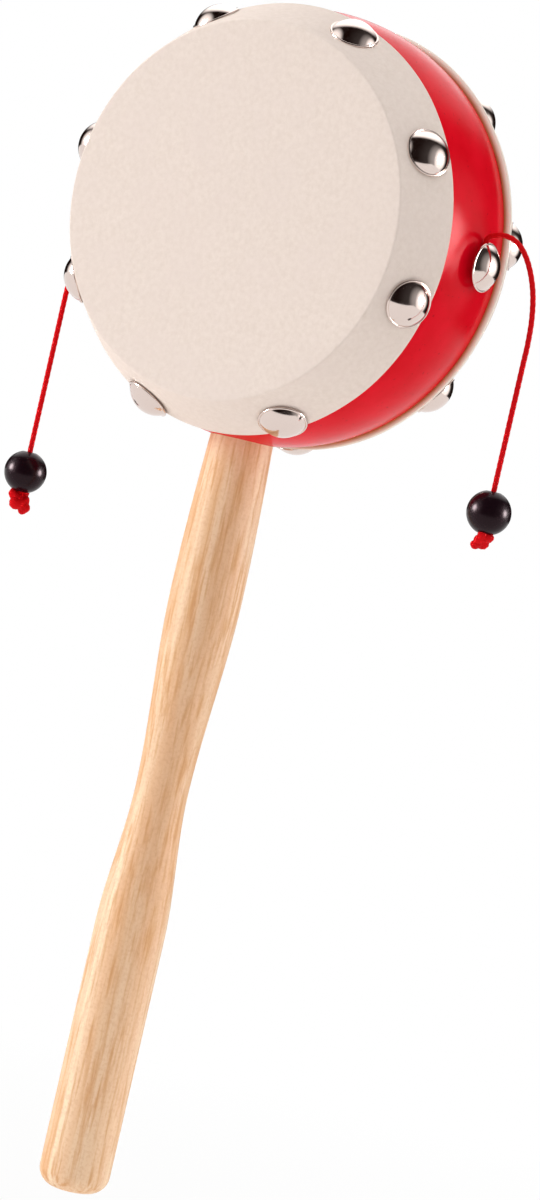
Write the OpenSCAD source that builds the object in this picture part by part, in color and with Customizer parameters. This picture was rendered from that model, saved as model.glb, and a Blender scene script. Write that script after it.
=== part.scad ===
// Pellet drum rattle: a barrel shaped wooden shell with a skin lapped over each end, held by domed tacks,
// on a turned handle, with a beaded cord on each side that swings round and beats the skins.
// Millimetres. The origin is the middle of the grip, +Z runs up the handle, the front skin faces -Y.

/* [Drum shell] */
// Outside diameter at the middle of the painted band
shell_d = 100; // [80:1:130]
// Depth from end to end, without the skins
shell_w = 50; // [40:1:70]
// Wall at the middle of the band, outside to bore
shell_wall = 13; // [10:0.5:18]
// Width of each sloped lap, along the drum's axis from the shell's end to the painted band
lap_w = 12.4; // [9:0.2:13]
// How far the band's edges lie inside its middle
band_crown = 1.8; // [0.6:0.1:3.5]
// Slope of the laps that the skins cover, in degrees
lap_angle = 26; // [16:1:32]
// Rounding of the shell's two end corners
shell_round = 0.8; // [0.8:0.1:2.5]

/* [Skins] */
// Thickness of a skin
skin_t = 1.2; // [0.6:0.1:2]

/* [Tacks] */
// Number of tacks round each skin
tack_count = 8; // [6:1:8]
// Diameter of a tack's domed head
tack_d = 11.2; // [9:0.2:12]
// Height of the dome
tack_h = 3.2; // [2.4:0.1:4]
// Thickness of the dome's metal
tack_t = 0.6; // [0.4:0.1:1]
// Diameter of a tack's shank
shank_d = 1.4; // [1:0.1:2]
// Length of a skin tack's shank below its rim
shank_l = 9; // [6:0.5:10]
// Length of a cord tack's shank below its rim
cord_shank_l = 12; // [8:0.5:13]
// Length of the shank's point
point_l = 2; // [1:0.2:3]
// Distance along the lap from the skin's edge to a tack's axis, before each tack's own share
tack_in = 5; // [4.6:0.1:5.6]
// Height of a cord tack's rim above the band, which leaves room for the cord
cord_tack_lift = 1.5; // [1.5:0.1:2.5]
// Gap round a shank in its hole
shank_gap = 0.05; // [0.02:0.01:0.1]
// Turn of the first front tack from the top, clockwise seen from the front, in degrees
front_turn = -27.3; // [-40:0.1:0]
// Turn of the first rear tack from the top, in degrees
rear_turn = -5; // [-20:0.1:10]

/* [Handle] */
// Diameter in the shell's socket
socket_d = 14.6; // [12:0.1:15]
// Gap round the handle in its socket
socket_gap = 0.05; // [0.02:0.01:0.1]
// Largest diameter of the swell
swell_d = 16.6; // [14:0.1:20]
// Distance from the shell down to the swell
swell_at = 36; // [25:1:45]
// Smallest diameter of the waist
waist_d = 12.2; // [10:0.1:14]
// Distance from the shell down to the waist
waist_at = 82.5; // [65:0.5:95]
// Diameter of the grip
grip_d = 16.4; // [14:0.1:20]
// Distance from the shell down to the grip
grip_at = 115; // [105:1:130]
// Straight length of the grip
grip_l = 56; // [40:1:80]
// Rounding of the handle's lower end
end_round = 4.5; // [1:0.5:6]

/* [Cords, beads and knots] */
// Diameter of a cord
cord_d = 1.3; // [1:0.1:1.4]
// Diameter of a bead
bead_d = 10; // [8:0.2:12]
// Diameter of a bead's hole
bead_bore_d = 2; // [1.8:0.1:2.6]
// Chamfer at each end of a bead's hole
bead_chamfer = 0.4; // [0.2:0.1:0.6]
// Diameter of a knot
knot_d = 4.2; // [3.8:0.1:5]
// Length of the cord's tail past its knot
tail_l = 2.6; // [1:0.2:5]
// Tilt of the tail, in degrees
tail_tilt = 24; // [0:1:40]
// Gap between a bead and its knot, and between a knot and the end of its cord
knot_gap = 0.03; // [0.02:0.01:0.1]

/* [Hidden] */
front_tacks = [for (i = [1:tack_count]) str("front_tack_", i)];
rear_tacks = [for (i = [1:tack_count]) str("rear_tack_", i)];
sides = ["right", "left"];
cord_parts = ["cord_root", "cord_neck", "cord_upper", "cord_lower", "knot", "bead", "cord_tack"];
side_parts = [for (s = sides) for (p = cord_parts) str(s, "_", p)];

wood_colour = "#e3b98a";
skin_colour = "#e8dace";
red_colour = "#d3101c";
black_colour = "#17161a";
nickel_colour = "#b9b6b0";

shell_r = shell_d / 2;
bore_r = shell_r - shell_wall;
end_at = shell_w / 2;
band_half = end_at - lap_w;
edge_r = shell_r - band_crown;
end_r = edge_r - lap_w * tan(lap_angle);
round_r = end_r - shell_round * (1 - sin(lap_angle)) / cos(lap_angle);
round_at = end_at - shell_round;
drum_z = shell_r + grip_at + grip_l / 2;
tack_r = tack_d / 2;
dome_r = (tack_r * tack_r + tack_h * tack_h) / (2 * tack_h);
overrun = 1;
smooth = 96;
small_smooth = 48;

// How far each hand-set tack lies from its even place, as shares of the pitch
front_shares = [0.02, 0.06, 0.01, -0.06, 0.06, 0.06, 0, -0.13];
rear_shares = [0, 0.05, -0.08, -0.02, 0.02, 0.03, -0.04, 0.01];

// Each hand-set tack's distance from the skin's edge, as shares of tack_in
front_in_shares = [0.87, 1.15, 1.19, 1.15, 0.85, 0.75, 1, 1];
rear_in_shares = [1.2, 1.15, 1.25, 1.25, 1.25, 1.2, 1.15, 1.25];

// Number of steps in the rounded stretches of the outlines
crown_steps = 8;
corner_steps = 6;
curve_steps = 12;

// A cord's places are given from its tack: x outwards from the band, z along the handle
right_root = [[0.7, 0, 1.5], [0.6, 0, 3.4], [0.5, 0, 5.4]];
right_neck = [1.1, 0, 6.6];
right_upper = [[2.3, 0, 7.2], [4.6, 0, 7.7], [7.4, 0, 7], [10.2, 0, 4.9], [12.8, 0, 1.2], [14.9, 0, -3.8],
    [16.1, 0, -9.5], [16.5, 0, -15], [16.5, 0, -18.2], [16.5, 0, -21.4]];
right_lower = [for (z = [-23.4, -27, -30.5, -34, -37.5, -41, -44.5]) [16.5, 0, z]];
right_bead = [16.5, 0, -53];
left_root = [[0.7, 0, -1.5], [0.6, 0, -3.4], [0.5, 0, -5.4]];
left_neck = [1.1, 0, -6.6];
left_upper = [[1.7, 0, -7.8], [3.2, 0, -10.8], [4.7, 0, -14.6], [5.7, 0, -18.8], [6.2, 0, -23.2],
    [6.3, 0, -27.6], [6.3, 0, -31.1], [6.3, 0, -34.6]];
left_lower = [for (z = [-36.6, -40, -43.5, -47, -50.5, -54, -57.5]) [6.3, 0, z]];
left_bead = [6.3, 0, -68.1];
cord_sides = 8;
cap_steps = 3;

// The knot's centre below the bead's, where the knot rests on the rim of the bead's hole
hole_rim_r = bead_bore_d / 2 + bead_chamfer;
hole_rim_at = sqrt(pow(bead_d / 2, 2) - pow(hole_rim_r, 2));
knot_rise = sqrt(pow(knot_d / 2, 2) - pow(hole_rim_r, 2));
knot_down = hole_rim_at + knot_rise + knot_gap;
cord_down = knot_down - knot_d / 2 - knot_gap;

function root_points(side) = side == "right" ? right_root : left_root;
function neck_point(side) = side == "right" ? right_neck : left_neck;
function upper_points(side) = side == "right" ? right_upper : left_upper;
function bead_point(side) = side == "right" ? right_bead : left_bead;
function lower_points(side) =
    concat(side == "right" ? right_lower : left_lower, [bead_point(side) - [0, 0, cord_down]]);

// Outlines are [distance from the axis, distance along the axis]

function crown_points() = [for (i = [-crown_steps:crown_steps])
    let (share = i / crown_steps) [shell_r - band_crown * share * share, band_half * share]];

// The rounded end corner, or the skin round it, at a distance from the corner's centre
function corner_points(r) = [for (i = [0:corner_steps])
    let (a = lap_angle + (90 - lap_angle) * i / corner_steps)
    [round_r + r * cos(a), round_at + r * sin(a)]];

function flipped(points) = [for (i = [len(points) - 1:-1:0]) [points[i][0], -points[i][1]]];

function lap_shift(d) = [d * cos(lap_angle), d * sin(lap_angle)];

function reversed(points) = [for (i = [len(points) - 1:-1:0]) points[i]];

function eased(share) = share * share * (3 - 2 * share);

// Turns a shape about Z into one about the drum's axis, with its far end to the front (-1) or the rear (1)
module on_drum(side) {
    translate([0, 0, drum_z]) rotate([-90 * side, 0, 0]) children();
}

module drum_body() {
    corner = corner_points(shell_round);
    outline = concat([[bore_r, -end_at]], flipped(corner), crown_points(), corner, [[bore_r, end_at]]);
    on_drum(1) rotate_extrude($fn = smooth) polygon(outline);
}

// Each front (-1) or rear (1) tack's turn about the drum's axis, and its distance from the skin's edge
function tack_turn(side, i) =
    let (shares = side < 0 ? front_shares : rear_shares, first = side < 0 ? front_turn : rear_turn)
    first + (i + shares[i]) * 360 / tack_count;

function tack_inset(side, i) = tack_in * (side < 0 ? front_in_shares[i] : rear_in_shares[i]);

// Puts a tack's axis and rim on a skin
module on_skin(side, i) {
    edge = [edge_r, band_half] + lap_shift(skin_t);
    seat = edge + tack_inset(side, i) * [-sin(lap_angle), cos(lap_angle)];
    translate([0, 0, drum_z]) rotate([0, tack_turn(side, i), 0]) translate([0, side * seat[1], seat[0]])
        rotate([-side * lap_angle, 0, 0]) children();
}

// Puts a cord tack's axis on the band
module on_band(side) {
    turn = side == "right" ? 90 : -90;
    translate([0, 0, drum_z]) rotate([0, turn, 0]) translate([0, 0, shell_r]) children();
}

module skin_tack_places(side) {
    for (i = [0:tack_count - 1]) on_skin(side, i) children();
}

module shank_hole(l) {
    translate([0, 0, -l - shank_gap])
        cylinder(r = shank_d / 2 + shank_gap, h = l + overrun, $fn = small_smooth);
}

module drum_shell() {
    color(red_colour) difference() {
        drum_body();
        for (side = [-1, 1]) skin_tack_places(side) shank_hole(shank_l);
        for (side = sides) on_band(side) translate([0, 0, cord_tack_lift]) shank_hole(cord_shank_l);
        translate([0, 0, drum_z - shell_r - overrun])
            cylinder(r = socket_d / 2 + socket_gap, h = shell_wall + 2 * overrun, $fn = smooth);
    }
}

module head(side) {
    outer = corner_points(shell_round + skin_t);
    inner = corner_points(shell_round);
    edge = [edge_r, band_half];
    middle = [[0, end_at + skin_t], [0, end_at]];
    outline = concat([edge, edge + lap_shift(skin_t)], outer, middle, reversed(inner));
    color(skin_colour) difference() {
        on_drum(side) rotate_extrude($fn = smooth) polygon(outline);
        skin_tack_places(side) shank_hole(shank_l);
    }
}

module tack(l) {
    color(nickel_colour) {
        difference() {
            translate([0, 0, tack_h - dome_r]) sphere(r = dome_r, $fn = smooth);
            translate([0, 0, tack_h - dome_r]) sphere(r = dome_r - tack_t, $fn = smooth);
            translate([-dome_r, -dome_r, tack_h - 2 * dome_r - overrun])
                cube([2 * dome_r, 2 * dome_r, 2 * dome_r - tack_h + overrun]);
        }
        translate([0, 0, point_l - l])
            cylinder(d = shank_d, h = l - point_l + tack_h - tack_t / 2, $fn = small_smooth);
        translate([0, 0, -l]) cylinder(d1 = 0, d2 = shank_d, h = point_l, $fn = small_smooth);
    }
}

module handle() {
    top = drum_z - shell_r;
    socket_r = socket_d / 2;
    swell_r = swell_d / 2;
    waist_r = waist_d / 2;
    grip_r = grip_d / 2;
    grip_end = grip_at + grip_l;
    flare = [for (i = [1:curve_steps]) let (s = i / curve_steps)
        [socket_r + (swell_r - socket_r) * sin(90 * s), top - swell_at * s]];
    fall = [for (i = [1:curve_steps]) let (s = i / curve_steps)
        [swell_r + (waist_r - swell_r) * eased(s), top - swell_at - (waist_at - swell_at) * s]];
    rise = [for (i = [1:curve_steps]) let (s = i / curve_steps)
        [waist_r + (grip_r - waist_r) * eased(s), top - waist_at - (grip_at - waist_at) * s]];
    foot = [for (i = [0:corner_steps]) let (a = 90 * i / corner_steps)
        [grip_r - end_round + end_round * cos(a), top - grip_end - end_round * sin(a)]];
    outline = concat([[0, top + shell_wall], [socket_r, top + shell_wall], [socket_r, top]],
        flare, fall, rise, foot, [[0, top - grip_end - end_round]]);
    color(wood_colour) rotate_extrude($fn = smooth) polygon(outline);
}

module from_tack(side) {
    translate([0, 0, drum_z]) mirror([side == "left" ? 1 : 0, 0, 0]) translate([shell_r, 0, 0]) children();
}

// The direction of a route in the XZ plane at one of its points
function heading(points, i) =
    let (v = points[min(i + 1, len(points) - 1)] - points[max(i - 1, 0)]) v / norm(v);

function ring(centre, dir, r) =
    let (across = cross(dir, [0, 1, 0]))
    [for (k = [0:cord_sides - 1]) let (a = 360 * k / cord_sides)
        centre + r * (cos(a) * across + [0, sin(a), 0])];

// Rings that close a tube in a round end; way is -1 before its first point and 1 past its last
function cap_rings(centre, dir, r, way) =
    [for (k = [1:cap_steps]) let (a = 90 * k / (cap_steps + 1))
        ring(centre + way * r * sin(a) * dir, dir, r * cos(a))];

// A tube along a route, with a round first end and a round or a square last one
module tube(points, d, round_end = true) {
    r = d / 2;
    last = len(points) - 1;
    first_dir = heading(points, 0);
    last_dir = heading(points, last);
    body = [for (i = [0:last]) ring(points[i], heading(points, i), r)];
    rings = concat(reversed(cap_rings(points[0], first_dir, r, -1)), body,
        round_end ? cap_rings(points[last], last_dir, r, 1) : []);
    tip = points[last] + (round_end ? r : 0) * last_dir;
    verts = concat([for (ring_points = rings) for (p = ring_points) p], [points[0] - r * first_dir, tip]);
    count = len(rings);
    start = count * cord_sides;
    walls = [for (i = [0:count - 2]) for (k = [0:cord_sides - 1])
        let (a = i * cord_sides + k, b = i * cord_sides + (k + 1) % cord_sides)
        for (t = [[a, a + cord_sides, b], [b, a + cord_sides, b + cord_sides]]) t];
    low_fan = [for (k = [0:cord_sides - 1]) [start, k, (k + 1) % cord_sides]];
    high = start - cord_sides;
    high_fan = [for (k = [0:cord_sides - 1]) [start + 1, high + (k + 1) % cord_sides, high + k]];
    polyhedron(verts, concat(walls, low_fan, high_fan));
}

module cord_root(side) {
    color(red_colour) from_tack(side) tube(root_points(side), cord_d);
}

module cord_neck(side) {
    color(red_colour) from_tack(side) translate(neck_point(side)) sphere(d = cord_d, $fn = small_smooth);
}

module cord_upper(side) {
    color(red_colour) from_tack(side) tube(upper_points(side), cord_d);
}

module cord_lower(side) {
    color(red_colour) from_tack(side) tube(lower_points(side), cord_d, round_end = false);
}

module bead(side) {
    color(black_colour) from_tack(side) translate(bead_point(side)) difference() {
        sphere(d = bead_d, $fn = smooth);
        cylinder(d = bead_bore_d, h = bead_d + overrun, center = true, $fn = small_smooth);
        for (up = [0, 1]) mirror([0, 0, up]) translate([0, 0, hole_rim_at - bead_chamfer])
            cylinder(r1 = bead_bore_d / 2, r2 = hole_rim_r + overrun, h = bead_chamfer + overrun,
                $fn = small_smooth);
    }
}

module knot(side) {
    color(red_colour) from_tack(side) translate(bead_point(side) - [0, 0, knot_down]) {
        sphere(d = knot_d, $fn = small_smooth);
        rotate([0, tail_tilt, 0]) translate([0, 0, -knot_d / 2 - tail_l])
            cylinder(d = cord_d, h = knot_d / 2 + tail_l, $fn = small_smooth);
    }
}

module cord_tack(side) {
    on_band(side) translate([0, 0, cord_tack_lift]) tack(cord_shank_l);
}

drum_shell();
head(-1);  // front_head
head(1);  // rear_head
handle();
for (i = [0:tack_count - 1]) {
    on_skin(-1, i) tack(shank_l);
    on_skin(1, i) tack(shank_l);
}
for (side = sides) {
    cord_root(side);
    cord_neck(side);
    cord_upper(side);
    cord_lower(side);
    knot(side);
    bead(side);
    cord_tack(side);
}
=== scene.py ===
# Pellet drum rattle: a red drum with two skins on a turned handle, and a beaded cord on each side.
import math
import random

import bmesh
import bpy
from mathutils import Matrix, Vector


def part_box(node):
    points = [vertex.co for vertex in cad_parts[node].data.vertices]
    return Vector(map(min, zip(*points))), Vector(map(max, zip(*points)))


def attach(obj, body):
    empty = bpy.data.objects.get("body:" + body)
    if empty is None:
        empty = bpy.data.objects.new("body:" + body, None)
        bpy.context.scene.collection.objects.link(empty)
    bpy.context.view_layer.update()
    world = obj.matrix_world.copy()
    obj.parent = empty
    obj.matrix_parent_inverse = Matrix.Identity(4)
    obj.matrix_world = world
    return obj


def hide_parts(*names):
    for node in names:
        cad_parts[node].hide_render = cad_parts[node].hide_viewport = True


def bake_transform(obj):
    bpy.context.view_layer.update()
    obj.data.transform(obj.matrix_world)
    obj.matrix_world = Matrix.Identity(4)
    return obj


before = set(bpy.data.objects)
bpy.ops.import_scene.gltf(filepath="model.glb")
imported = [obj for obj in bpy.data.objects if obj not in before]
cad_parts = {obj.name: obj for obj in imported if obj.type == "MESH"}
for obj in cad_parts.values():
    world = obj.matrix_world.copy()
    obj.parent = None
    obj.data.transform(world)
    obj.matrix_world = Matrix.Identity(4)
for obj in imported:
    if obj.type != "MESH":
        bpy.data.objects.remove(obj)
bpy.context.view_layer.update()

mm = 0.001
weldGap = 0.001 * mm      # points this close are one
sideNames = ("right", "left")

# Places that the frame gives
shellLow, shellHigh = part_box("drum_shell")
drumCentre = (shellLow + shellHigh) / 2
shellRadius = (shellHigh.x - shellLow.x) / 2
shellEnd = shellHigh.y
handleLow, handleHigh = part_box("handle")


# Small helpers for modelling by hand

def deselect():
    if bpy.context.mode != "OBJECT":
        bpy.ops.object.mode_set(mode="OBJECT")
    bpy.ops.object.select_all(action="DESELECT")


def pick(piece):
    deselect()
    piece.select_set(True)
    bpy.context.view_layer.objects.active = piece


def startEdit(piece):
    pick(piece)
    bpy.ops.object.mode_set(mode="EDIT")


def endEdit():
    bpy.ops.object.mode_set(mode="OBJECT")


def settle(piece, place):
    piece.data.transform(place)      # the mesh moves, and the object stays at the origin
    piece.matrix_world = Matrix.Identity(4)


def smooth(piece, angle):
    pick(piece)
    bpy.ops.object.shade_smooth_by_angle(angle=math.radians(angle))


def finishModifiers(piece):
    pick(piece)
    for name in [m.name for m in piece.modifiers]:
        bpy.ops.object.modifier_apply(modifier=name)


def fixNormals(piece):
    startEdit(piece)
    bpy.ops.mesh.select_all(action="SELECT")
    bpy.ops.mesh.remove_doubles(threshold=weldGap)
    bpy.ops.mesh.normals_make_consistent(inside=False)
    endEdit()


def copyOf(piece, name):
    twin = piece.copy()
    twin.data = piece.data.copy()
    twin.name = name
    twin.data.name = name
    bpy.context.scene.collection.objects.link(twin)
    return twin


def rename(piece, name):
    piece.name = name
    piece.data.name = name
    return piece


def joinPieces(pieces, name):
    deselect()
    for piece in pieces:
        piece.select_set(True)
    bpy.context.view_layer.objects.active = pieces[0]
    bpy.ops.object.join()
    return rename(bpy.context.object, name)


def inMetres(outline):
    return [(radius * mm, height * mm) for radius, height in outline]


def turnOnLathe(name, outline, sides, closed=False):
    # a ring is pulled along Z and widened or narrowed at each point (radius, height) of the outline,
    # and its two ends are joined on a piece with a bore, and otherwise filled
    radius, height = outline[0]
    bpy.ops.mesh.primitive_circle_add(vertices=sides, radius=radius, location=(0, 0, height))
    piece = rename(bpy.context.object, name)
    settle(piece, Matrix.Translation((0, 0, height)))
    startEdit(piece)
    bpy.ops.mesh.select_all(action="SELECT")
    for nextRadius, nextHeight in outline[1:]:
        bpy.ops.mesh.extrude_region_move(TRANSFORM_OT_translate={"value": (0, 0, nextHeight - height)})
        share = nextRadius / radius
        bpy.ops.transform.resize(value=(share, share, 1), center_override=(0, 0, nextHeight))
        radius, height = nextRadius, nextHeight
    bpy.ops.mesh.select_all(action="DESELECT")
    bpy.ops.mesh.select_non_manifold()
    if closed:
        bpy.ops.mesh.bridge_edge_loops()
    else:
        bpy.ops.mesh.fill_holes(sides=0)
    endEdit()
    fixNormals(piece)
    return piece


def faceDrum(side):
    # from the lathe's Z to the drum's axis: the outline's far end goes to the front (-1) or the rear (1)
    return Matrix.Translation(drumCentre) @ Matrix.Rotation(math.radians(-90 * side), 4, "X")


def eased(share):
    return share * share * (3 - 2 * share)


# Camera, at the photograph's viewing angle

photoCamera = {
    "azimuth": 30.8,       # degrees round the part from straight ahead
    "elevation": 1.934,
    "roll": 12.905,
    "distance": 966.1,     # mm from the point aimed at
    "aim": (16.784, 0, 109.91),
    "lens": 127.97,
    "clipStart": 10,       # mm
}


def placeCamera():
    turn = Matrix.Rotation(math.radians(photoCamera["azimuth"]), 4, "Z")
    turn = turn @ Matrix.Rotation(math.radians(90 - photoCamera["elevation"]), 4, "X")
    turn = turn @ Matrix.Rotation(math.radians(photoCamera["roll"]), 4, "Z")
    aim = Matrix.Translation(Vector(photoCamera["aim"]) * mm)
    bpy.ops.object.camera_add()
    eye = bpy.context.object
    eye.name = "photoCamera"
    eye.matrix_world = aim @ turn @ Matrix.Translation((0, 0, photoCamera["distance"] * mm))
    eye.data.lens = photoCamera["lens"]
    eye.data.clip_start = photoCamera["clipStart"] * mm
    bpy.context.scene.camera = eye


# Cords: each is one twisted string, from under its tack to the knot below its bead

cord = {
    "diameter": 1.3,
    "pitch": 4.6,          # length of one turn of the lay
    "strands": 3,
    "groove": 0.1,         # depth between two strands, as a share of the radius
    "sides": 18,
    "ringStep": 0.32,
    "capRings": 3,         # rings in each round end
    "bendReach": 8,        # how far from the bend's middle the string starts to turn
    "smoothAngle": 60,     # degrees, as in the other pieces' values
}

# The routes, in mm from each tack: x outwards from the band, z along the handle
routes = {
    "right": {
        "root": [(0.7, 0, 1.5), (0.6, 0, 3.4), (0.5, 0, 5.4)],
        "neck": (1.1, 0, 6.6),
        "upper": [(2.3, 0, 7.1), (4.6, 0, 7.5), (7.4, 0, 6.9), (10.2, 0, 4.9), (12.8, 0, 1.2),
                  (14.9, 0, -3.8), (16.1, 0, -9.5), (16.5, 0, -15), (16.5, 0, -18.2), (16.5, 0, -21.4)],
        "lower": [(16.5, 0, z) for z in (-23.4, -27, -30.5, -34, -37.5, -41, -44.5)],
        "bead": (16.5, 0, -53),
    },
    "left": {
        "root": [(0.7, 0, -1.5), (0.6, 0, -3.4), (0.5, 0, -5.4)],
        "neck": (1.1, 0, -6.6),
        "upper": [(1.35, 0, -7.8), (2.9, 0, -10.8), (4.7, 0, -14.6), (5.7, 0, -18.8), (6.2, 0, -23.2),
                  (6.3, 0, -27.6), (6.3, 0, -31.1), (6.3, 0, -34.6)],
        "lower": [(6.3, 0, z) for z in (-36.6, -40, -43.5, -47, -50.5, -54, -57.5)],
        "bead": (6.3, 0, -68.1),
    },
}


def fromTack(side, point):
    x, y, z = point
    outwards = 1 if side == "right" else -1
    return Vector((outwards * (shellRadius + x * mm), y * mm, drumCentre.z + z * mm))


def curveThrough(points, step):
    # a smooth line through the points, with its samples a step apart, picked from finer ones
    finePerStep = 4
    ends = [2 * points[0] - points[1]] + points + [2 * points[-1] - points[-2]]
    fine = []
    for a, b, c, d in zip(ends, ends[1:], ends[2:], ends[3:]):
        count = max(2, int((c - b).length / step) * finePerStep)
        for i in range(count):
            t = i / count
            fine.append(0.5 * (2 * b + (c - a) * t + (2 * a - 5 * b + 4 * c - d) * t * t
                               + (3 * b - a - 3 * c + d) * t * t * t))
    fine.append(points[-1].copy())
    line = [fine[0]]
    travelled = 0
    for a, b in zip(fine, fine[1:]):
        travelled += (b - a).length
        if travelled >= step:
            line.append(b)
            travelled = 0
    line[-1] = fine[-1]
    return line


def roundEnd(station, radius, way):
    # the narrowing rings past the start (-1) or the end (1) of a string, in the order of its line
    point, ahead, along = station[:3]
    angles = [math.pi / 2 * (k + 1) / (cord["capRings"] + 1) for k in range(cord["capRings"])]
    cap = []
    for angle in angles:
        past = ahead * radius * math.sin(angle)
        cap.append((point + way * past, ahead, along + way * radius * math.sin(angle), math.cos(angle)))
    return cap if way > 0 else cap[::-1]


def stringMesh(name, line, radius, groove):
    # a tube along the line, whose lobes turn once in each pitch, with round ends
    sides, pitch = cord["sides"], cord["pitch"] * mm
    mesh = bmesh.new()
    uvLayer = mesh.loops.layers.uv.new("lay")
    stations = []
    travelled = 0
    for i, point in enumerate(line):
        ahead = (line[min(i + 1, len(line) - 1)] - line[max(i - 1, 0)]).normalized()
        if i:
            travelled += (point - line[i - 1]).length
        stations.append((point, ahead, travelled, 1))
    stations = roundEnd(stations[0], radius, -1) + stations + roundEnd(stations[-1], radius, 1)
    rings = []
    across = Vector((0, 1, 0))
    for point, ahead, along, width in stations:
        across = (across - ahead * across.dot(ahead)).normalized()
        other = ahead.cross(across)
        ring = []
        for k in range(sides):
            angle = 2 * math.pi * k / sides
            lobe = abs(math.cos(cord["strands"] * angle / 2))
            reach = radius * width * (1 - groove * (1 - lobe))
            turned = angle + 2 * math.pi * along / pitch
            spoke = math.cos(turned) * across + math.sin(turned) * other
            ring.append(mesh.verts.new(point + reach * spoke))
        rings.append((ring, along / pitch))
    for (ringA, alongA), (ringB, alongB) in zip(rings, rings[1:]):
        for k in range(sides):
            corners = [ringA[k], ringA[(k + 1) % sides], ringB[(k + 1) % sides], ringB[k]]
            face = mesh.faces.new(corners)
            here, there = k / sides, (k + 1) / sides
            shares = [(here, alongA), (there, alongA), (there, alongB), (here, alongB)]
            for loop, share in zip(face.loops, shares):
                loop[uvLayer].uv = share
    for ring, way in ((rings[0][0], -1), (rings[-1][0], 1)):
        tip = mesh.verts.new(sum((v.co for v in ring), Vector()) / sides)
        for k in range(sides):
            corners = [ring[k], ring[(k + 1) % sides], tip]
            mesh.faces.new(corners if way > 0 else list(reversed(corners)))
    bmesh.ops.recalc_face_normals(mesh, faces=mesh.faces)
    data = bpy.data.meshes.new(name)
    mesh.to_mesh(data)
    mesh.free()
    piece = bpy.data.objects.new(name, data)
    bpy.context.scene.collection.objects.link(piece)
    return piece


def makeString(name, line):
    return stringMesh(name, line, cord["diameter"] * mm / 2, cord["groove"])


def knotTop(side):
    # the string's place at the foot of its bead
    low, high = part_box(f"{side}_cord_lower")
    return Vector(((low.x + high.x) / 2, 0, low.z))


def makeCords():
    made = {}
    for side in sideNames:
        route = routes[side]
        step = cord["ringStep"] * mm
        root = [fromTack(side, p) for p in route["root"]]
        neck = fromTack(side, route["neck"])
        upper = [fromTack(side, p) for p in route["upper"]]
        lower = [fromTack(side, p) for p in route["lower"]]
        whole = root + [neck] + upper + lower + [knotTop(side)]
        line = curveThrough(whole, step)
        split = min(range(len(line)), key=lambda i: (line[i] - neck).length)
        start = makeString(f"{side}_string_start", line[:split + 1])
        hanging = makeString(f"{side}_string", line[split:])
        made[side] = {"start": start, "string": hanging, "line": line[split:], "neck": neck,
                      "bend": (upper[-1] + lower[0]) / 2}
    return made


knot = {
    "reach": {"right": 0.5, "left": 0.66},         # size of the loops across
    "height": {"right": 0.1, "left": 0.13},        # and along the cord
    "drop": {"right": 1.7, "left": 2.1},           # from the bead's foot to the knot's middle
    "swollen": {"right": 2.3, "left": 2.6},        # width of the string where it is bunched up
    "groove": 0.07,
    "tailWidth": 2.2,
    "turns": {"right": 150, "left": -35},
    "tails": {"right": (-0.9, -0.5, -0.8), "left": (1.1, 0.6, -2.3)},
    "intoBead": 0.6,                               # how far the knot's string reaches up the bead's hole
    "points": 24,
    "ringStep": 0.3,
}


def makeKnot(side):
    # a pulled overhand knot: the string dives through its own loop and ends in a short stub
    top = knotTop(side)
    centre = top - Vector((0, 0, knot["drop"][side] * mm))
    turn = Matrix.Rotation(math.radians(knot["turns"][side]), 3, "Z")
    path = [top + Vector((0, 0, knot["intoBead"] * mm))]
    for i in range(knot["points"] + 1):
        # the three sums of powers of t draw an overhand knot while t runs from -2 to 2
        t = -2 + 4 * i / knot["points"]
        x = knot["reach"][side] * (t ** 3 - 3 * t)
        y = knot["reach"][side] * (t ** 4 - 4 * t * t + 2)
        z = -knot["height"][side] * (t ** 5 - 10 * t)
        path.append(centre + turn @ Vector((x, y, z)) * mm)
    step = knot["ringStep"] * mm
    tied = stringMesh(f"{side}_tied", curveThrough(path, step), knot["swollen"][side] / 2 * mm,
                      knot["groove"])
    tip = centre + Vector(knot["tails"][side]) * mm
    stub = stringMesh(f"{side}_stub", curveThrough([centre, (centre * 2 + tip) / 3, tip], step),
                      knot["tailWidth"] / 2 * mm, knot["groove"])
    return joinPieces([tied, stub], f"{side}_overhand_knot")


# Drum shell, turned from one ring of wood and painted

shell = {
    "wall": 13,
    "bandHalf": 12.6,
    "crown": 1.8,
    "lapAngle": 26,
    "endRound": 0.8,
    "sides": 192,
    "crownSteps": 24,
    "cornerSteps": 6,
    "smoothAngle": 40,
}


def arc(centreRadius, centreHeight, radius, fromAngle, toAngle, steps):
    points = []
    for i in range(steps + 1):
        angle = math.radians(fromAngle + (toAngle - fromAngle) * i / steps)
        points.append((centreRadius + radius * math.cos(angle), centreHeight + radius * math.sin(angle)))
    return points


def endCorner():
    # centre of the rounded corner, where the lap meets the shell's flat end: its radius, and its
    # distance from the drum's middle
    slope = math.radians(shell["lapAngle"])
    edgeRadius = shellRadius / mm - shell["crown"]
    endRadius = edgeRadius - (shellEnd / mm - shell["bandHalf"]) * math.tan(slope)
    inset = shell["endRound"] * (1 - math.sin(slope)) / math.cos(slope)
    return endRadius - inset, shellEnd / mm - shell["endRound"]


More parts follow.
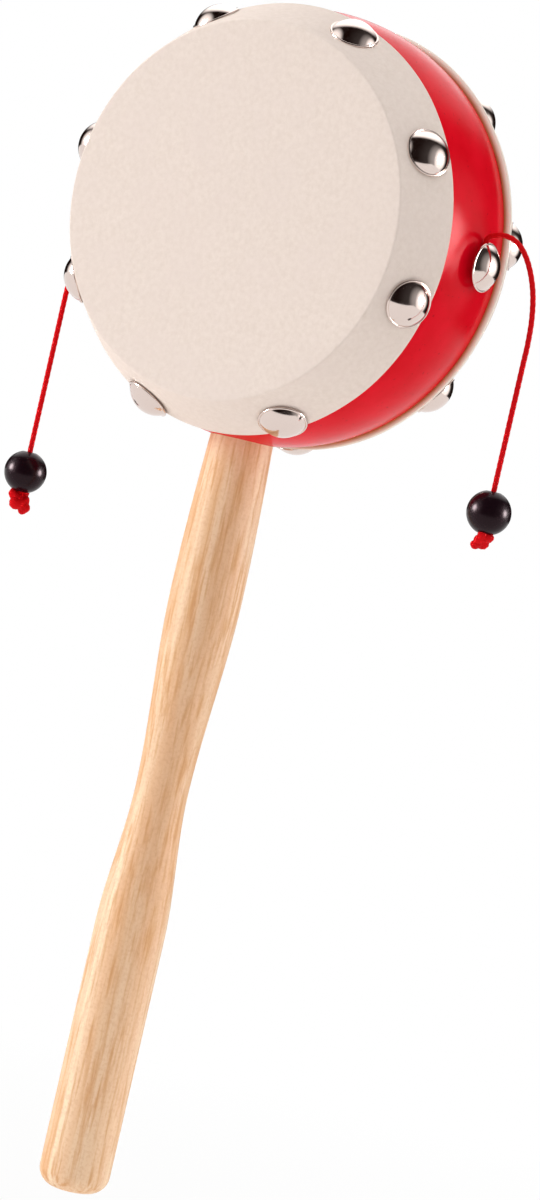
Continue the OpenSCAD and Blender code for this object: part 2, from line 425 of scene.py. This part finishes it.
def makeShell():
    radius = shellRadius / mm
    centreRadius, centreHeight = endCorner()
    corner = arc(centreRadius, centreHeight, shell["endRound"], shell["lapAngle"], 90, shell["cornerSteps"])
    steps = shell["crownSteps"]
    crown = []
    for i in range(-steps, steps + 1):
        share = i / steps
        crown.append((radius - shell["crown"] * share * share, shell["bandHalf"] * share))
    bore = radius - shell["wall"]
    outline = [(bore, -shellEnd / mm)] + [(r, -h) for r, h in reversed(corner)] + crown + corner
    outline.append((bore, shellEnd / mm))
    ring = turnOnLathe("painted_shell", inMetres(outline), shell["sides"], closed=True)
    settle(ring, faceDrum(1))
    smooth(ring, shell["smoothAngle"])
    return ring


# Skins, drawn over the ends and cut off at the band

skin = {
    "thickness": 1.2,
    "fold": 0.7,           # radius of the crease where the skin turns over the end
    "edgeRound": 0.6,      # rounding of the cut edge
    "edgeWave": 0.22,      # how unevenly it is cut
    "rearCurl": 1.2,       # how far the rear skin's edge stands off at the upper right
    "curlReach": 4,        # how far up the lap that goes
    "curlAt": -40,         # where it is at its most, in degrees on the lathe
    "pull": 0.16,          # how far the lap stands off between the tacks
    "waves": (3, 5, 8, 13, 21),      # how often each wave of the uneven cut runs round the drum
    "phaseLimit": 6.28,              # a wave starts anywhere up to here, in radians
    "seeds": {-1: 3, 1: 5},          # for the front and the rear skin
    "cutEdgeReach": (0.75, 0.4),      # along the drum from the band, where the cut edge's colour starts and is full: brown glue and painted shadow, paling to a painted highlight
    "edgeShadeToHighlight": (0.2, 1.3),        # out from the band's edge, where the brown glue and painted shadow end and the painted highlight is full
    "sides": 288,
    "faceRings": 10,
    "faceStart": 0.02,     # where the face starts, in rings from the axis
    "foldSteps": 7,
    "innerSteps": 4,
    "edgeSteps": 5,
    "lapRings": 14,
    "smoothAngle": 50,
}


def nailAngles(side):
    # where the tacks stand round the drum, as angles on the lathe
    end = "front" if side < 0 else "rear"
    angles = []
    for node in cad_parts:
        if node.startswith(f"{end}_tack"):
            low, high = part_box(node)
            place = faceDrum(side).inverted() @ ((low + high) / 2)
            angles.append(math.atan2(place.y, place.x))
    return sorted(angles)


def slackBetween(angles, angle):
    # 0 at a tack and 1 midway to the next
    turn = 2 * math.pi
    back = min((angle - a) % turn for a in angles)
    ahead = min((a - angle) % turn for a in angles)
    return math.sin(math.pi * back / (back + ahead)) ** 2


def skinOutline():
    # from the middle of the face over the fold, the lap and the cut edge and back inside, with the
    # height at which the lap starts
    slope = math.radians(shell["lapAngle"])
    centreRadius, centreHeight = endCorner()
    thick = skin["thickness"]
    face = shellEnd / mm + thick
    edgeRadius = shellRadius / mm - shell["crown"]
    foldHeight = face - skin["fold"]
    outwards = (centreRadius * math.cos(slope) + centreHeight * math.sin(slope) + shell["endRound"] + thick
                - skin["fold"] - foldHeight * math.sin(slope))
    foldRadius = outwards / math.cos(slope)
    outerCorner = arc(foldRadius, foldHeight, skin["fold"], 90, shell["lapAngle"], skin["foldSteps"])
    innerCorner = arc(centreRadius, centreHeight, shell["endRound"], shell["lapAngle"], 90,
                      skin["innerSteps"])
    edgeOut = (edgeRadius + thick * math.cos(slope), shell["bandHalf"] + thick * math.sin(slope))
    edgeIn = (edgeRadius, shell["bandHalf"])
    lapStart = outerCorner[-1]
    steps = skin["lapRings"]
    lap = [(lapStart[0] + (edgeOut[0] - lapStart[0]) * i / steps,
            lapStart[1] + (edgeOut[1] - lapStart[1]) * i / steps) for i in range(1, steps)]
    # the cut edge's outer corner is rubbed round
    soften = skin["edgeRound"]
    cornerRadius = edgeOut[0] - soften * (math.sin(slope) + math.cos(slope))
    cornerHeight = edgeOut[1] + soften * (math.cos(slope) - math.sin(slope))
    rubbed = arc(cornerRadius, cornerHeight, soften, shell["lapAngle"], shell["lapAngle"] - 90,
                 skin["edgeSteps"])
    rings, start = skin["faceRings"], skin["faceStart"]
    faceOut = [(foldRadius * (i + start) / rings, face) for i in range(rings)]
    faceIn = [(centreRadius * (i + start) / rings, shellEnd / mm) for i in reversed(range(rings))]
    return faceOut + outerCorner + lap + rubbed + [edgeIn] + innerCorner + faceIn, lapStart[1]


def slackenLap(piece, side, lapTop):
    # an uneven cut and a slight slack between the tacks, fading towards the fold
    chance = random.Random(skin["seeds"][side])
    waves = [(n, chance.uniform(0, skin["phaseLimit"]), chance.uniform(0.5, 1)) for n in skin["waves"]]
    total = sum(w for n, phase, w in waves)
    slope = math.radians(shell["lapAngle"])
    centreRadius = endCorner()[0]
    edgeRadius = shellRadius / mm - shell["crown"]
    nails = nailAngles(side)
    reach = lapTop - shell["bandHalf"]
    for v in piece.data.vertices:
        height = v.co.z / mm
        distance = math.hypot(v.co.x, v.co.y) / mm
        share = max(0.0, min(1.0, (lapTop - height) / reach))
        if share and distance > centreRadius:
            angle = math.atan2(v.co.y, v.co.x)
            wave = sum(w * math.sin(n * angle + phase) for n, phase, w in waves) / total
            v.co.z += skin["edgeWave"] * wave * share ** 3 * mm
            inside = edgeRadius - (height - shell["bandHalf"]) * math.tan(slope)
            if distance > inside + skin["thickness"] / 2:
                lift = skin["pull"] * slackBetween(nails, angle) * math.sin(math.pi * share)
                if side > 0:
                    near = max(0.0, 1 - (height - shell["bandHalf"]) / skin["curlReach"])
                    facing = 0.5 + 0.5 * math.cos(angle - math.radians(skin["curlAt"]))
                    lift += skin["rearCurl"] * facing * near * near
                v.co.x += lift * mm * math.cos(angle)
                v.co.y += lift * mm * math.sin(angle)


def makeSkin(side, name):
    outline, lapTop = skinOutline()
    piece = turnOnLathe(name, inMetres(outline), skin["sides"])
    slackenLap(piece, side, lapTop)
    settle(piece, faceDrum(side))
    smooth(piece, skin["smoothAngle"])
    return piece


# Tacks: domed nickelled heads with a rolled rim, on a pointed shank

tack = {
    "diameter": 11.2,
    "height": 3.2,
    "metal": 0.6,
    "shank": 1.4,
    "point": 2,
    "skinShank": 9,
    "cordShank": 12,
    "rimRoll": 0.28,
    "crease": 125,         # where the dome meets the roll, in degrees round the roll
    "hollowFrom": 1.3,     # height of the hollow's foot, in radii of the roll
    "crownAngle": 89.5,    # degrees up the dome at which its outline starts, just off the axis
    "domeSteps": 26,
    "rollSteps": 10,
    "hollowSteps": 12,
    "sides": 64,
    "shankSides": 20,
    "tip": 0.12,           # width of the point's tip, as a share of the shank's
    "smoothAngle": 40,
}


def makeTack(name, shankLength):
    # the head runs from its crown over a rolled rim and back up inside
    radius = tack["diameter"] / 2
    height = tack["height"]
    roll = tack["rimRoll"]
    rim = radius - roll
    crease = math.radians(tack["crease"])
    meetRadius = rim + roll * math.cos(crease)
    meetHeight = roll + roll * math.sin(crease)
    rise = height - meetHeight
    dome = (meetRadius * meetRadius + rise * rise) / (2 * rise)
    low = height - dome
    meet = math.degrees(math.atan2(meetHeight - low, meetRadius))
    hollow = dome - tack["metal"]
    inside = math.degrees(math.asin((tack["hollowFrom"] * roll - low) / hollow))
    outline = arc(0, low, dome, tack["crownAngle"], meet, tack["domeSteps"])
    outline += arc(rim, roll, roll, tack["crease"], -90, tack["rollSteps"])[1:]
    outline += arc(0, low, hollow, inside, tack["crownAngle"], tack["hollowSteps"])
    head = turnOnLathe("tack_head", inMetres(outline), tack["sides"])
    # the shank is a cylinder whose ends are moved to their places, with its point drawn out of the lower end
    bpy.ops.mesh.primitive_cylinder_add(vertices=tack["shankSides"], radius=tack["shank"] * mm / 2, depth=mm)
    shank = bpy.context.object
    top = (height - tack["metal"] / 2) * mm
    pointAt = (tack["point"] - shankLength) * mm
    for v in shank.data.vertices:
        v.co.z = top if v.co.z > 0 else pointAt
    startEdit(shank)
    bpy.ops.mesh.select_all(action="DESELECT")
    endEdit()
    for f in shank.data.polygons:
        f.select = f.normal.z < -0.5
    startEdit(shank)
    bpy.ops.mesh.extrude_region_move(TRANSFORM_OT_translate={"value": (0, 0, -tack["point"] * mm)})
    bpy.ops.transform.resize(value=(tack["tip"], tack["tip"], 1), center_override=(0, 0, -shankLength * mm))
    endEdit()
    made = joinPieces([head, shank], name)
    smooth(made, tack["smoothAngle"])
    return made


def tackPlace(node, shankLength):
    # the frame's own tack gives the place: its tip, which is nearest to the drum's axis, and the top of its
    # dome, which is the furthest from the tip
    points = [v.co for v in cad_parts[node].data.vertices]
    axisAt = Vector((drumCentre.x, 0, drumCentre.z))
    inward = min(points, key=lambda p: (Vector((p.x, 0, p.z)) - axisAt).length)
    crest = max(points, key=lambda p: (p - inward).length)
    axis = (crest - inward).normalized()
    seat = inward + axis * shankLength * mm
    return Matrix.Translation(seat) @ axis.to_track_quat("Z", "Y").to_matrix().to_4x4()


# Handle, turned from one pale stick

handle = {
    "socketDiameter": 14.6,
    "swellDiameter": 16.6,
    "swellAt": 36,         # mm below the shell, as are waistAt and gripAt
    "waistDiameter": 12.2,
    "waistAt": 82.5,
    "gripDiameter": 16.4,
    "gripAt": 115,
    "endRound": 4.5,
    "sides": 96,
    "ringStep": 1.5,
    "endSteps": 8,
    "smoothAngle": 40,
}


def handleRadius(below):
    # radius at a distance below the shell
    socket, swell = handle["socketDiameter"] / 2, handle["swellDiameter"] / 2
    waist, grip = handle["waistDiameter"] / 2, handle["gripDiameter"] / 2
    swellAt, waistAt, gripAt = handle["swellAt"], handle["waistAt"], handle["gripAt"]
    if below <= swellAt:
        return socket + (swell - socket) * math.sin(math.pi / 2 * below / swellAt)
    if below <= waistAt:
        return swell + (waist - swell) * eased((below - swellAt) / (waistAt - swellAt))
    if below <= gripAt:
        return waist + (grip - waist) * eased((below - waistAt) / (gripAt - waistAt))
    return grip


def makeHandle():
    shellBottom = shellLow.z
    length = (shellBottom - handleLow.z) / mm - handle["endRound"]
    count = int(length / handle["ringStep"])
    socketRadius = handle["socketDiameter"] / 2 * mm
    outline = [(socketRadius, handleHigh.z), (socketRadius, shellBottom)]
    for i in range(1, count + 1):
        below = length * i / count
        outline.append((handleRadius(below) * mm, shellBottom - below * mm))
    gripRadius = handle["gripDiameter"] / 2
    steps = handle["endSteps"]
    for i in range(1, steps + 1):
        angle = math.radians(90 * i / steps)
        radius = gripRadius - handle["endRound"] * (1 - math.cos(angle))
        outline.append((radius * mm, handleLow.z + handle["endRound"] * (1 - math.sin(angle)) * mm))
    piece = turnOnLathe("turned_handle", outline, handle["sides"])
    smooth(piece, handle["smoothAngle"])
    return piece


# Beads, turned and lacquered, with a hole eased at both ends

bead = {
    "diameter": 10,
    "bore": 2,
    "chamfer": 0.4,
    "easing": 0.16,
    "easingSteps": 3,
    "easingAngle": 25,
    "sides": 64,
    "arcSteps": 40,
    "smoothAngle": 40,
}


def makeBead(side):
    radius = bead["diameter"] / 2
    rim = bead["bore"] / 2 + bead["chamfer"]
    rimAt = math.sqrt(radius * radius - rim * rim)
    outline = []
    count = bead["arcSteps"]
    start = math.asin(rimAt / radius)
    for i in range(count + 1):
        angle = start - 2 * start * i / count
        outline.append((radius * math.cos(angle), radius * math.sin(angle)))
    outline.append((bead["bore"] / 2, -rimAt + bead["chamfer"]))
    outline.append((bead["bore"] / 2, rimAt - bead["chamfer"]))
    piece = turnOnLathe(f"{side}_lacquered_bead", inMetres(outline), bead["sides"], closed=True)
    ease = piece.modifiers.new("easedHole", "BEVEL")
    ease.width = bead["easing"] * mm
    ease.segments = bead["easingSteps"]
    ease.limit_method = "ANGLE"
    ease.angle_limit = math.radians(bead["easingAngle"])
    finishModifiers(piece)
    settle(piece, Matrix.Translation(fromTack(side, routes[side]["bead"])))
    smooth(piece, bead["smoothAngle"])
    return piece


# Materials

def linear(hexColour):
    # an sRGB hex colour as linear numbers
    parts = [int(hexColour[i:i + 2], 16) / 255 for i in (1, 3, 5)]
    return [p / 12.92 if p <= 0.04045 else ((p + 0.055) / 1.055) ** 2.4 for p in parts] + [1]


def addNode(tree, kind, settings=None, inputs=None):
    # an input is a plain value, a hex colour, an output, or a node whose working output feeds it
    node = tree.nodes.new("ShaderNode" + kind)
    for key, value in (settings or {}).items():
        setattr(node, key, value)
    for key, value in (inputs or {}).items():
        if isinstance(value, bpy.types.Node):
            value = next(output for output in value.outputs if output.enabled)
        if isinstance(value, bpy.types.NodeSocket):
            tree.links.new(value, node.inputs[key])
        else:
            node.inputs[key].default_value = linear(value) if isinstance(value, str) else value
    return node


def newMaterial(name):
    material = bpy.data.materials.new(name)
    material.use_nodes = True
    material.node_tree.nodes.clear()
    return material, material.node_tree


def finishMaterial(tree, inputs):
    shader = addNode(tree, "BsdfPrincipled", {}, inputs)
    addNode(tree, "OutputMaterial", {}, {"Surface": shader})


def perMetre(size):
    # scale of a pattern whose blots are this many mm wide
    return 1 / (size * mm)


def redEnamel():
    # sprayed enamel on turned wood: a soft gloss, slightly wavy, with faint rings of the turning under it
    material, tree = newMaterial("red_enamel_on_wood")
    stretch = 0.05      # draws the pattern out across the drum's axis, into rings
    place = addNode(tree, "TexCoord").outputs["Object"]
    aroundAxis = addNode(tree, "Mapping", {}, {"Vector": place, "Location": (0, 0, -drumCentre.z * stretch),
                                               "Scale": (stretch, 1, stretch)})
    blots = addNode(tree, "TexNoise", {}, {"Vector": place, "Scale": perMetre(8), "Detail": 3})
    dust = addNode(tree, "TexNoise", {}, {"Vector": place, "Scale": perMetre(0.9), "Detail": 1})
    rings = addNode(tree, "TexNoise", {}, {"Vector": aroundAxis, "Scale": perMetre(0.7), "Detail": 2})
    waves = addNode(tree, "TexNoise", {}, {"Vector": place, "Scale": perMetre(3), "Detail": 1})
    deeper = addNode(tree, "MapRange", {}, {"Value": blots, "From Min": 0.35, "From Max": 0.7})
    red = addNode(tree, "Mix", {"data_type": "RGBA"}, {0: deeper, 6: "#D8051A", 7: "#E40A22"})
    specks = addNode(tree, "MapRange", {}, {"Value": dust, "From Min": 0.7, "From Max": 0.8, "To Max": 0.5})
    colour = addNode(tree, "Mix", {"data_type": "RGBA"}, {0: specks, 6: red, 7: "#8A0710"})
    haze = addNode(tree, "MapRange", {}, {"Value": blots, "From Min": 0.3, "From Max": 0.7, "To Min": 0.17,
                                          "To Max": 0.24})
    wavy = addNode(tree, "Bump", {}, {"Height": waves, "Distance": 0.06 * mm, "Strength": 0.5})
    turned = addNode(tree, "Bump", {}, {"Height": rings, "Distance": 0.02 * mm, "Strength": 0.5,
                                        "Normal": wavy})
    finishMaterial(tree, {"Base Color": colour, "Roughness": haze, "Normal": turned,
                          "Specular IOR Level": 0.05})
    return material


def drumSkin():
    # scraped hide, drawn tight: matt and mottled like suede; its cut edge runs from brown glue with painted
    # shadow to a pale painted highlight
    material, tree = newMaterial("scraped_hide")
    place = addNode(tree, "TexCoord").outputs["Object"]
    cloud = addNode(tree, "TexNoise", {}, {"Vector": place, "Scale": perMetre(10), "Detail": 3})
    mottle = addNode(tree, "TexNoise", {}, {"Vector": place, "Scale": perMetre(1.2), "Detail": 4,
                                            "Roughness": 0.6})
    nap = addNode(tree, "TexNoise", {}, {"Vector": place, "Scale": perMetre(0.5), "Detail": 2})
    darker = addNode(tree, "MapRange", {}, {"Value": mottle, "From Min": 0.35, "From Max": 0.68})
    grain = addNode(tree, "Mix", {"data_type": "RGBA"}, {0: darker, 6: "#ECDDD3", 7: "#E5D5CA"})
    clouded = addNode(tree, "MapRange", {}, {"Value": cloud, "From Min": 0.4, "From Max": 0.7,
                                             "To Max": 0.5})
    face = addNode(tree, "Mix", {"data_type": "RGBA"}, {0: clouded, 6: grain, 7: "#E8D8CF"})
    where = addNode(tree, "SeparateXYZ", {}, {0: place})
    away = addNode(tree, "Math", {"operation": "ABSOLUTE"}, {0: where.outputs["Y"]})
    cutFrom, cutTo = [(shell["bandHalf"] + at) * mm for at in skin["cutEdgeReach"]]
    cut = addNode(tree, "MapRange", {}, {"Value": away, "From Min": cutFrom, "From Max": cutTo})
    flat = addNode(tree, "VectorMath", {"operation": "MULTIPLY_ADD"},
                   {0: place, 1: (1, 0, 1), 2: (0, 0, -drumCentre.z)})
    radius = addNode(tree, "VectorMath", {"operation": "LENGTH"}, {0: flat}).outputs["Value"]
    edgeRadius = shellRadius - shell["crown"] * mm
    # the cut edge is painted brown at its foot, for glue with painted shadow in the gap under it, and paler
    # outwards to a near-white painted highlight where it catches the light
    highlightFrom, highlightTo = [edgeRadius + at * mm for at in skin["edgeShadeToHighlight"]]
    outer = addNode(tree, "MapRange", {}, {"Value": radius, "From Min": highlightFrom, "From Max": highlightTo})
    cutGlueShadeAndHighlight = addNode(tree, "Mix", {"data_type": "RGBA"}, {0: outer, 6: "#BE7C50", 7: "#FFFAEC"})
    colour = addNode(tree, "Mix", {"data_type": "RGBA"}, {0: cut, 6: face, 7: cutGlueShadeAndHighlight})
    soft = addNode(tree, "Bump", {}, {"Height": mottle, "Distance": 0.2 * mm, "Strength": 0.45})
    fine = addNode(tree, "Bump", {}, {"Height": nap, "Distance": 0.06 * mm, "Strength": 0.4,
                                      "Normal": soft})
    finishMaterial(tree, {"Base Color": colour, "Roughness": 0.85, "Specular IOR Level": 0.25,
                          "Normal": fine})
    return material


def paleWood():
    # a pale, fine pored hardwood, sanded and thinly sealed: soft bands, tan streaks and small flecks
    material, tree = newMaterial("pale_pored_hardwood")
    bandStretch = 0.035      # the bands run further along the handle than the streaks do
    streakStretch = 0.07
    place = addNode(tree, "TexCoord").outputs["Object"]
    along = addNode(tree, "Mapping", {}, {"Vector": place, "Scale": (1, 1, bandStretch)})
    bands = addNode(tree, "TexNoise", {}, {"Vector": along, "Scale": perMetre(3.2), "Detail": 3,
                                           "Roughness": 0.6})
    broad = addNode(tree, "TexNoise", {}, {"Vector": along, "Scale": perMetre(9), "Detail": 2})
    grain = addNode(tree, "Mapping", {}, {"Vector": place, "Scale": (1, 1, streakStretch)})
    pores = addNode(tree, "TexNoise", {}, {"Vector": grain, "Scale": perMetre(1.1), "Detail": 4,
                                           "Roughness": 0.6})
    flecks = addNode(tree, "TexNoise", {}, {"Vector": place, "Scale": perMetre(0.7), "Detail": 2})
    banded = addNode(tree, "MapRange", {}, {"Value": bands, "From Min": 0.35, "From Max": 0.65})
    light = addNode(tree, "Mix", {"data_type": "RGBA"}, {0: banded, 6: "#F5DABA", 7: "#E4B990"})
    toned = addNode(tree, "MapRange", {}, {"Value": broad, "From Min": 0.45, "From Max": 0.65,
                                           "To Max": 0.6})
    warm = addNode(tree, "Mix", {"data_type": "RGBA"}, {0: toned, 6: light, 7: "#E8B48A"})
    dark = addNode(tree, "MapRange", {}, {"Value": pores, "From Min": 0.48, "From Max": 0.66,
                                          "To Max": 0.75})
    streaked = addNode(tree, "Mix", {"data_type": "RGBA"}, {0: dark, 6: warm, 7: "#D3955C"})
    fleck = addNode(tree, "MapRange", {}, {"Value": flecks, "From Min": 0.45, "From Max": 0.7,
                                           "To Max": 0.25})
    colour = addNode(tree, "Mix", {"data_type": "RGBA"}, {0: fleck, 6: streaked, 7: "#CC9068"})
    dents = addNode(tree, "Bump", {}, {"Height": pores, "Distance": 0.04 * mm, "Strength": 0.3})
    finishMaterial(tree, {"Base Color": colour, "Roughness": 0.6, "Specular IOR Level": 0.28,
                          "Normal": dents})
    return material


def nickel():
    # nickel plate on a pressed steel head: a warm mirror with a faint haze
    material, tree = newMaterial("nickel_plate")
    place = addNode(tree, "TexCoord").outputs["Object"]
    rubbed = addNode(tree, "TexNoise", {}, {"Vector": place, "Scale": perMetre(1.4), "Detail": 2})
    haze = addNode(tree, "MapRange", {}, {"Value": rubbed, "From Min": 0.3, "From Max": 0.7, "To Min": 0.08,
                                          "To Max": 0.15})
    finishMaterial(tree, {"Base Color": "#E2D1C9", "Metallic": 1, "Roughness": haze})
    return material


def redString():
    # dyed polyester laid up from three strands, each of which shows its filaments
    material, tree = newMaterial("twisted_red_string")
    lay = addNode(tree, "UVMap", {"uv_map": "lay"})
    filamentsRound, filamentsPerTurn = 27, 9
    along = addNode(tree, "Mapping", {}, {"Vector": lay, "Scale": (filamentsRound, filamentsPerTurn, 1)})
    filaments = addNode(tree, "TexNoise", {}, {"Vector": along, "Scale": 1, "Detail": 2})
    lit = addNode(tree, "MapRange", {}, {"Value": filaments, "From Min": 0.35, "From Max": 0.65})
    colour = addNode(tree, "Mix", {"data_type": "RGBA"}, {0: lit, 6: "#CA030D", 7: "#DE0612"})
    fuzz = addNode(tree, "Bump", {}, {"Height": filaments, "Distance": 0.03 * mm, "Strength": 0.2})
    finishMaterial(tree, {"Base Color": colour, "Roughness": 0.6, "Specular IOR Level": 0.1,
                          "Normal": fuzz})
    return material


def blackLacquer():
    # black lacquer dipped on a wooden bead: a soft gloss, very slightly wavy
    material, tree = newMaterial("black_lacquer")
    place = addNode(tree, "TexCoord").outputs["Object"]
    waves = addNode(tree, "TexNoise", {}, {"Vector": place, "Scale": perMetre(2.5), "Detail": 1})
    haze = addNode(tree, "MapRange", {}, {"Value": waves, "From Min": 0.3, "From Max": 0.7, "To Min": 0.2,
                                          "To Max": 0.28})
    wavy = addNode(tree, "Bump", {}, {"Height": waves, "Distance": 0.02 * mm, "Strength": 0.5})
    finishMaterial(tree, {"Base Color": "#180A10", "Roughness": haze, "Normal": wavy,
                          "Specular IOR Level": 0.19, "Specular Tint": "#FFE0E6"})
    return material


def paint(piece, material):
    piece.data.materials.clear()
    piece.data.materials.append(material)


# Floor, backdrop and light

studio = {
    "floorDrop": 70,        # mm below the handle
    "floorLeft": 8,         # how far the paper reaches, in metres, as the camera sees it
    "floorRight": 1,
    "floorNear": 0.75,
    "floorFar": 8,
    "shadowShare": 0.25,    # how much of the floor's shadow shows near the part
    "shadowReach": 0.7,     # metres to where the floor has faded to white
    "fill": 0.6,            # level of the even light
    "darkRoom": 0.04,       # what gloss shows where the room is empty, and its colour
    "darkColour": "#7A3D24",
}

# lamps: direction from the drum, distance, width and height in metres, and power
lamps = {
    "left": ((-0.82, -0.56, 0.13), 1.2, 0.5, 0.55, 6.6),
    "right": ((0.8, 0.6, 0.2), 1.0, 0.5, 0.8, 1.8),
    "overhead": ((0.05, -0.05, 1), 1.2, 0.9, 0.9, 5),
    "bounce": ((0.15, -0.1, -1), 0.28, 0.9, 0.9, 0.6),
}

# what gloss shows of the room: degrees round from straight behind the part, to the right as the camera
# sees it, and degrees up; the inner and outer edge of the glow, in degrees from its middle; and its level
roomGlows = {
    "backdrop": (-5, 55, 26, 44, 1.7),
    "backdropFoot": (5, 27, 9, 18, 1.7),
    "leftBox": (-95, 7, 22, 46, 1.4),
    "leftCore": (-93, 8, 3, 16, 50),
    "rightBox": (90, 6, 19, 38, 1.5),
    "rightCore": (91, 9, 3, 15, 44),
    "rightSpill": (106, 8, 10, 52, 0.45),
    "rightHaze": (115, 5, 0, 88, 0.045),
}


def asSeen(around, up):
    # a direction in the world from angles as the camera sees it
    turn = math.radians(photoCamera["azimuth"] - around)
    level = math.cos(math.radians(up))
    return Vector((-math.sin(turn) * level, math.cos(turn) * level, math.sin(math.radians(up))))


def rayKinds(tree):
    # whether the camera sees a surface itself, or a gloss or something clear shows it
    ray = addNode(tree, "LightPath")
    mirrored = addNode(tree, "Math", {"operation": "MAXIMUM"}, {0: ray.outputs["Is Glossy Ray"],
                                                                1: ray.outputs["Is Transmission Ray"]})
    return ray.outputs["Is Camera Ray"], mirrored


def makeFloor():
    bpy.ops.mesh.primitive_plane_add(size=1)
    floor = rename(bpy.context.object, "floor")
    width = studio["floorLeft"] + studio["floorRight"]
    depth = studio["floorNear"] + studio["floorFar"]
    middle = Vector((studio["floorRight"] - width / 2, studio["floorFar"] - depth / 2, 0))
    turned = Matrix.Rotation(math.radians(photoCamera["azimuth"]), 4, "Z") @ Matrix.Translation(middle)
    down = Matrix.Translation((0, 0, handleLow.z - studio["floorDrop"] * mm))
    settle(floor, down @ turned @ Matrix.Diagonal((width, depth, 1, 1)))
    material, tree = newMaterial("white_paper")
    place = addNode(tree, "TexCoord").outputs["Object"]
    flat = addNode(tree, "VectorMath", {"operation": "MULTIPLY"}, {0: place, 1: (1, 1, 0)})
    away = addNode(tree, "VectorMath", {"operation": "LENGTH"}, {0: flat}).outputs["Value"]
    white = addNode(tree, "MapRange", {}, {"Value": away, "From Max": studio["shadowReach"],
                                           "To Min": 1 - studio["shadowShare"], "To Max": 1})
    direct, mirrored = rayKinds(tree)
    seen = addNode(tree, "Math", {"operation": "MAXIMUM"}, {0: direct, 1: mirrored})
    share = addNode(tree, "Math", {"operation": "MULTIPLY"}, {0: seen, 1: white})
    matt = addNode(tree, "BsdfDiffuse", {}, {"Color": "#F4F2F0"})
    glow = addNode(tree, "Emission", {}, {"Color": "#FFFFFF", "Strength": 1})
    both = addNode(tree, "MixShader", {}, {0: share, 1: matt, 2: glow})
    addNode(tree, "OutputMaterial", {}, {"Surface": both})
    floor.data.materials.append(material)


def makeSky():
    world = bpy.data.worlds.new("studio")
    bpy.context.scene.world = world
    world.use_nodes = True
    tree = world.node_tree
    tree.nodes.clear()
    # gloss and metal show the lit backdrop and softboxes of a dark room, and everything else is white
    way = addNode(tree, "TexCoord").outputs["Generated"]
    shown = 0.0
    for around, up, inner, outer, strength in roomGlows.values():
        near = addNode(tree, "VectorMath", {"operation": "DOT_PRODUCT"}, {0: way, 1: asSeen(around, up)})
        glow = addNode(tree, "MapRange", {"interpolation_type": "SMOOTHSTEP"},
                       {"Value": near.outputs["Value"], "From Min": math.cos(math.radians(outer)),
                        "From Max": math.cos(math.radians(inner)), "To Max": strength})
        shown = addNode(tree, "Math", {"operation": "MAXIMUM"}, {0: shown, 1: glow})
    direct, mirrored = rayKinds(tree)
    even = addNode(tree, "Background", {}, {"Color": "#FFFFFF", "Strength": studio["fill"]})
    glows = addNode(tree, "Background", {}, {"Color": "#FFFFFF", "Strength": shown})
    dark = addNode(tree, "Background", {}, {"Color": studio["darkColour"], "Strength": studio["darkRoom"]})
    room = addNode(tree, "AddShader", {}, {0: glows, 1: dark})
    white = addNode(tree, "Background", {}, {"Color": "#FFFFFF", "Strength": 1})
    lit = addNode(tree, "MixShader", {}, {0: mirrored, 1: even, 2: room})
    both = addNode(tree, "MixShader", {}, {0: direct, 1: lit, 2: white})
    addNode(tree, "OutputWorld", {}, {"Surface": both})


def makeLights():
    for name, (way, distance, width, height, power) in lamps.items():
        bpy.ops.object.light_add(type="AREA")
        lamp = bpy.context.object
        lamp.name = f"{name}_lamp"
        lamp.data.shape = "RECTANGLE"
        lamp.data.size = width
        lamp.data.size_y = height
        lamp.data.energy = power
        lamp.location = drumCentre + Vector(way).normalized() * distance
        lamp.rotation_euler = (-Vector(way)).to_track_quat("-Z", "Y").to_euler()
        lamp.visible_camera = False
        lamp.visible_glossy = False      # the sky shows the boxes in gloss


placeCamera()
cords = makeCords()
print("camera and cords are in place")

string = redString()
black = blackLacquer()
for side in sideNames:
    start, hanging = cords[side]["start"], cords[side]["string"]
    tied = makeKnot(side)
    ball = makeBead(side)
    for piece in (start, hanging, tied):
        paint(piece, string)
        smooth(piece, cord["smoothAngle"])
    paint(ball, black)
    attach(tied, f"{side}_lower")
    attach(ball, f"{side}_striker")
    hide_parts(f"{side}_knot")
    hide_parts(f"{side}_bead")
    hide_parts(f"{side}_cord_root", f"{side}_cord_neck")
    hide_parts(f"{side}_cord_upper", f"{side}_cord_lower")
    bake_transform(start)
    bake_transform(hanging)
print("beads and knots are on their cords")

shellPiece = makeShell()
paint(shellPiece, redEnamel())
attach(shellPiece, "drum")
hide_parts("drum_shell")
print("shell is turned and painted")

hide = drumSkin()
for side, end in ((-1, "front"), (1, "rear")):
    drawn = makeSkin(side, f"{end}_skin")
    paint(drawn, hide)
    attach(drawn, "drum")
    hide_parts(f"{end}_head")
print("skins are drawn over the ends")

plate = nickel()
skinTack = makeTack("skin_tack_model", tack["skinShank"])
cordTack = makeTack("cord_tack_model", tack["cordShank"])
for node in sorted(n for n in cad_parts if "tack" in n):
    model, length = (cordTack, tack["cordShank"]) if "cord" in node else (skinTack, tack["skinShank"])
    driven = copyOf(model, node + "_nickelled")
    settle(driven, tackPlace(node, length))
    paint(driven, plate)
    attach(driven, "drum")
    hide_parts(node)
for model in (skinTack, cordTack):
    bpy.data.objects.remove(model)
print("tacks are driven in")

stick = makeHandle()
paint(stick, paleWood())
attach(stick, "drum")
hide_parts("handle")
print("handle is turned")

makeFloor()
makeSky()
makeLights()
bpy.context.scene.view_settings.view_transform = "Standard"
print("studio is lit")

deselect()
